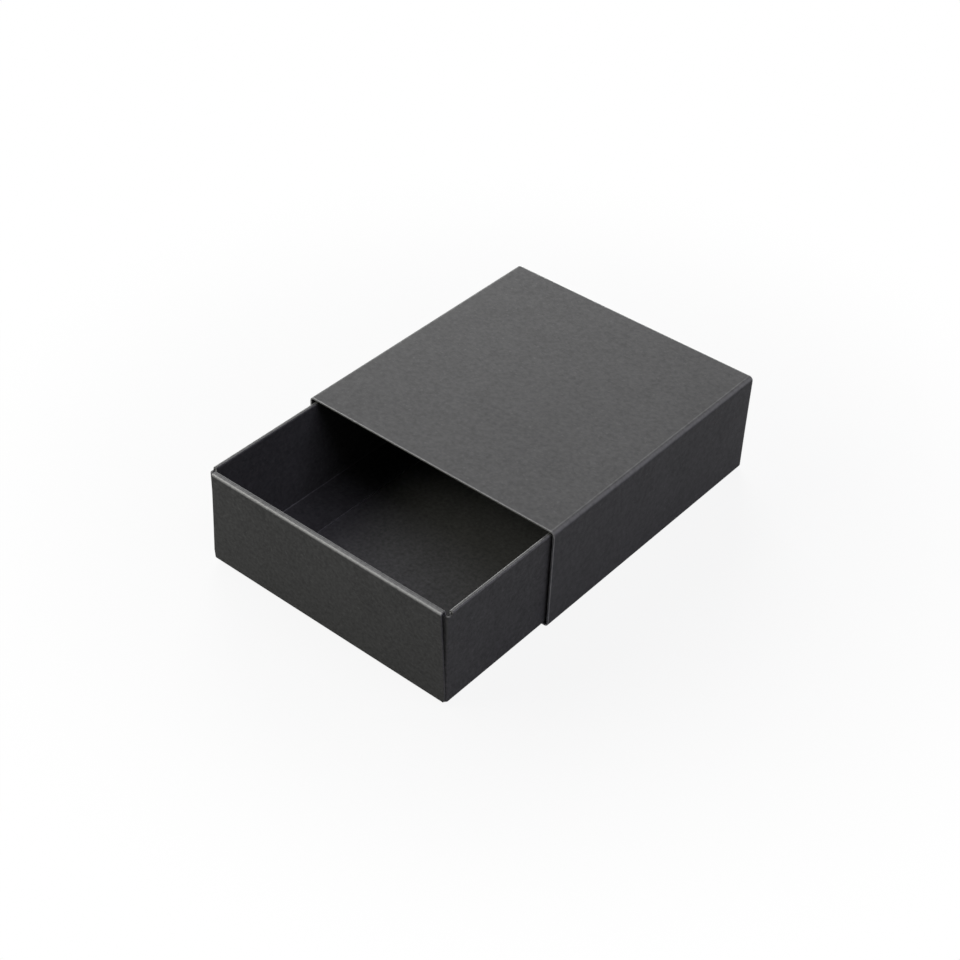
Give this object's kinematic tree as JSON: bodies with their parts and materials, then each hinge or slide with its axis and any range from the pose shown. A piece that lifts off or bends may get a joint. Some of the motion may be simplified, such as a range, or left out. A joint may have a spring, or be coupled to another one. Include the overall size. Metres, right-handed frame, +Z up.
{
  "type": "sliding drawer gift box",
  "caption": "Folded black paperboard gift box: an open-ended sleeve with a shallow tray that slides out of it like a drawer, shown partly open.",
  "frame": {"origin": "middle of the sleeve's underside, on the surface that the box rests on", "axes": "+Z up, -Y the way the tray pulls out of the sleeve's mouth, +X across the box to the right seen from the mouth"},
  "size_m": [0.085, 0.13, 0.0325],
  "materials": {
    "sleeve_board": "matt, uncoated, dyed through, charcoal black",
    "tray_board": "matt, uncoated, dyed through, charcoal black"
  },
  "bodies": {
    "sleeve": {"sleeve_top_panel": "sleeve_board", "sleeve_right_side_panel": "sleeve_board", "sleeve_left_side_panel": "sleeve_board", "sleeve_bottom_panel": "sleeve_board", "sleeve_glue_flap": "sleeve_board"},
    "tray": {"tray_base": "tray_board", "tray_right_outer_wall": "tray_board", "tray_right_rolled_edge": "tray_board", "tray_right_inner_wall": "tray_board", "tray_right_floor_flange": "tray_board", "tray_left_outer_wall": "tray_board", "tray_left_rolled_edge": "tray_board", "tray_left_inner_wall": "tray_board", "tray_left_floor_flange": "tray_board", "tray_front_right_corner_tab": "tray_board", "tray_front_left_corner_tab": "tray_board", "tray_back_right_corner_tab": "tray_board", "tray_back_left_corner_tab": "tray_board", "tray_front_outer_wall": "tray_board", "tray_front_rolled_edge": "tray_board", "tray_front_inner_wall": "tray_board", "tray_back_outer_wall": "tray_board", "tray_back_rolled_edge": "tray_board", "tray_back_inner_wall": "tray_board"}
  },
  "joints": [
    {"name": "tray_slide", "type": "slide", "parent": "sleeve", "child": "tray", "axis": [0, -1, 0], "range_m": [-0.131, 0.0505]}
  ]
}
